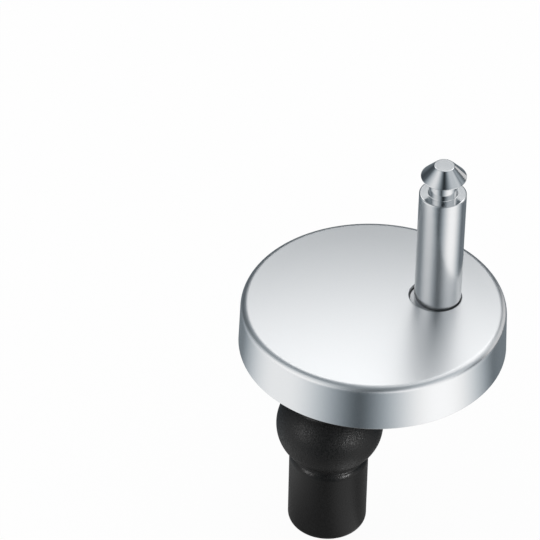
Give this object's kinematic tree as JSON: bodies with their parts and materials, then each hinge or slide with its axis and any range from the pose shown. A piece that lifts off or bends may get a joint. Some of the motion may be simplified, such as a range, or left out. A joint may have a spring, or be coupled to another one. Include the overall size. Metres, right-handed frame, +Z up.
{
  "type": "toilet seat hinge",
  "caption": "Round capped post for a toilet seat: a grooved upright pin on an eccentric base, fixed from above by a screw that swells a rubber plug in the pan's hole.",
  "frame": {"origin": "on the plug's axis, in the plane of the pan's top face, which is the pad's underside", "axes": "+Z up along the hinge pin, +X from the plug's axis to the hinge pin"},
  "size_m": [0.055, 0.055, 0.0911],
  "materials": {
    "satin_steel": "satin polished stainless steel",
    "bright_steel": "bright turned stainless steel",
    "zinc_plate": "bright zinc plate",
    "cast_zinc": "matt cast zinc alloy",
    "pad_rubber": "matt soft pad",
    "plug_rubber": "satin black moulded rubber",
    "brass": "plain turned brass"
  },
  "bodies": {
    "plug": {"expansion_plug": "plug_rubber"},
    "base": {"base_plate": "cast_zinc", "hinge_pin": "bright_steel", "pin_screw": "zinc_plate", "base_pad": "pad_rubber", "screw_washer": "zinc_plate"},
    "cover": {"cover_cap": "satin_steel"},
    "screw": {"fixing_screw": "zinc_plate"},
    "nut": {"plug_nut": "brass"}
  },
  "joints": [
    {"name": "base_swivel", "type": "hinge", "parent": "plug", "child": "base", "pos_m": [0, 0, 0], "axis": [0, 0, 1], "continuous": true},
    {"name": "cover_lift", "type": "slide", "parent": "base", "child": "cover", "axis": [0, 0, 1], "range_m": [0, 0.045]},
    {"name": "screw_turn", "type": "hinge", "parent": "plug", "child": "screw", "pos_m": [0, 0, 0], "axis": [0, 0, 1], "range_deg": [0, 2160]},
    {"name": "nut_lift", "type": "slide", "parent": "plug", "child": "nut", "axis": [0, 0, 1], "range_m": [-0.006, 0], "deforming": ["expansion_plug"]}
  ],
  "couplings": [
    {"joint": "nut_lift", "follows": "screw_turn", "m_per_rad": -0.000159}
  ]
}
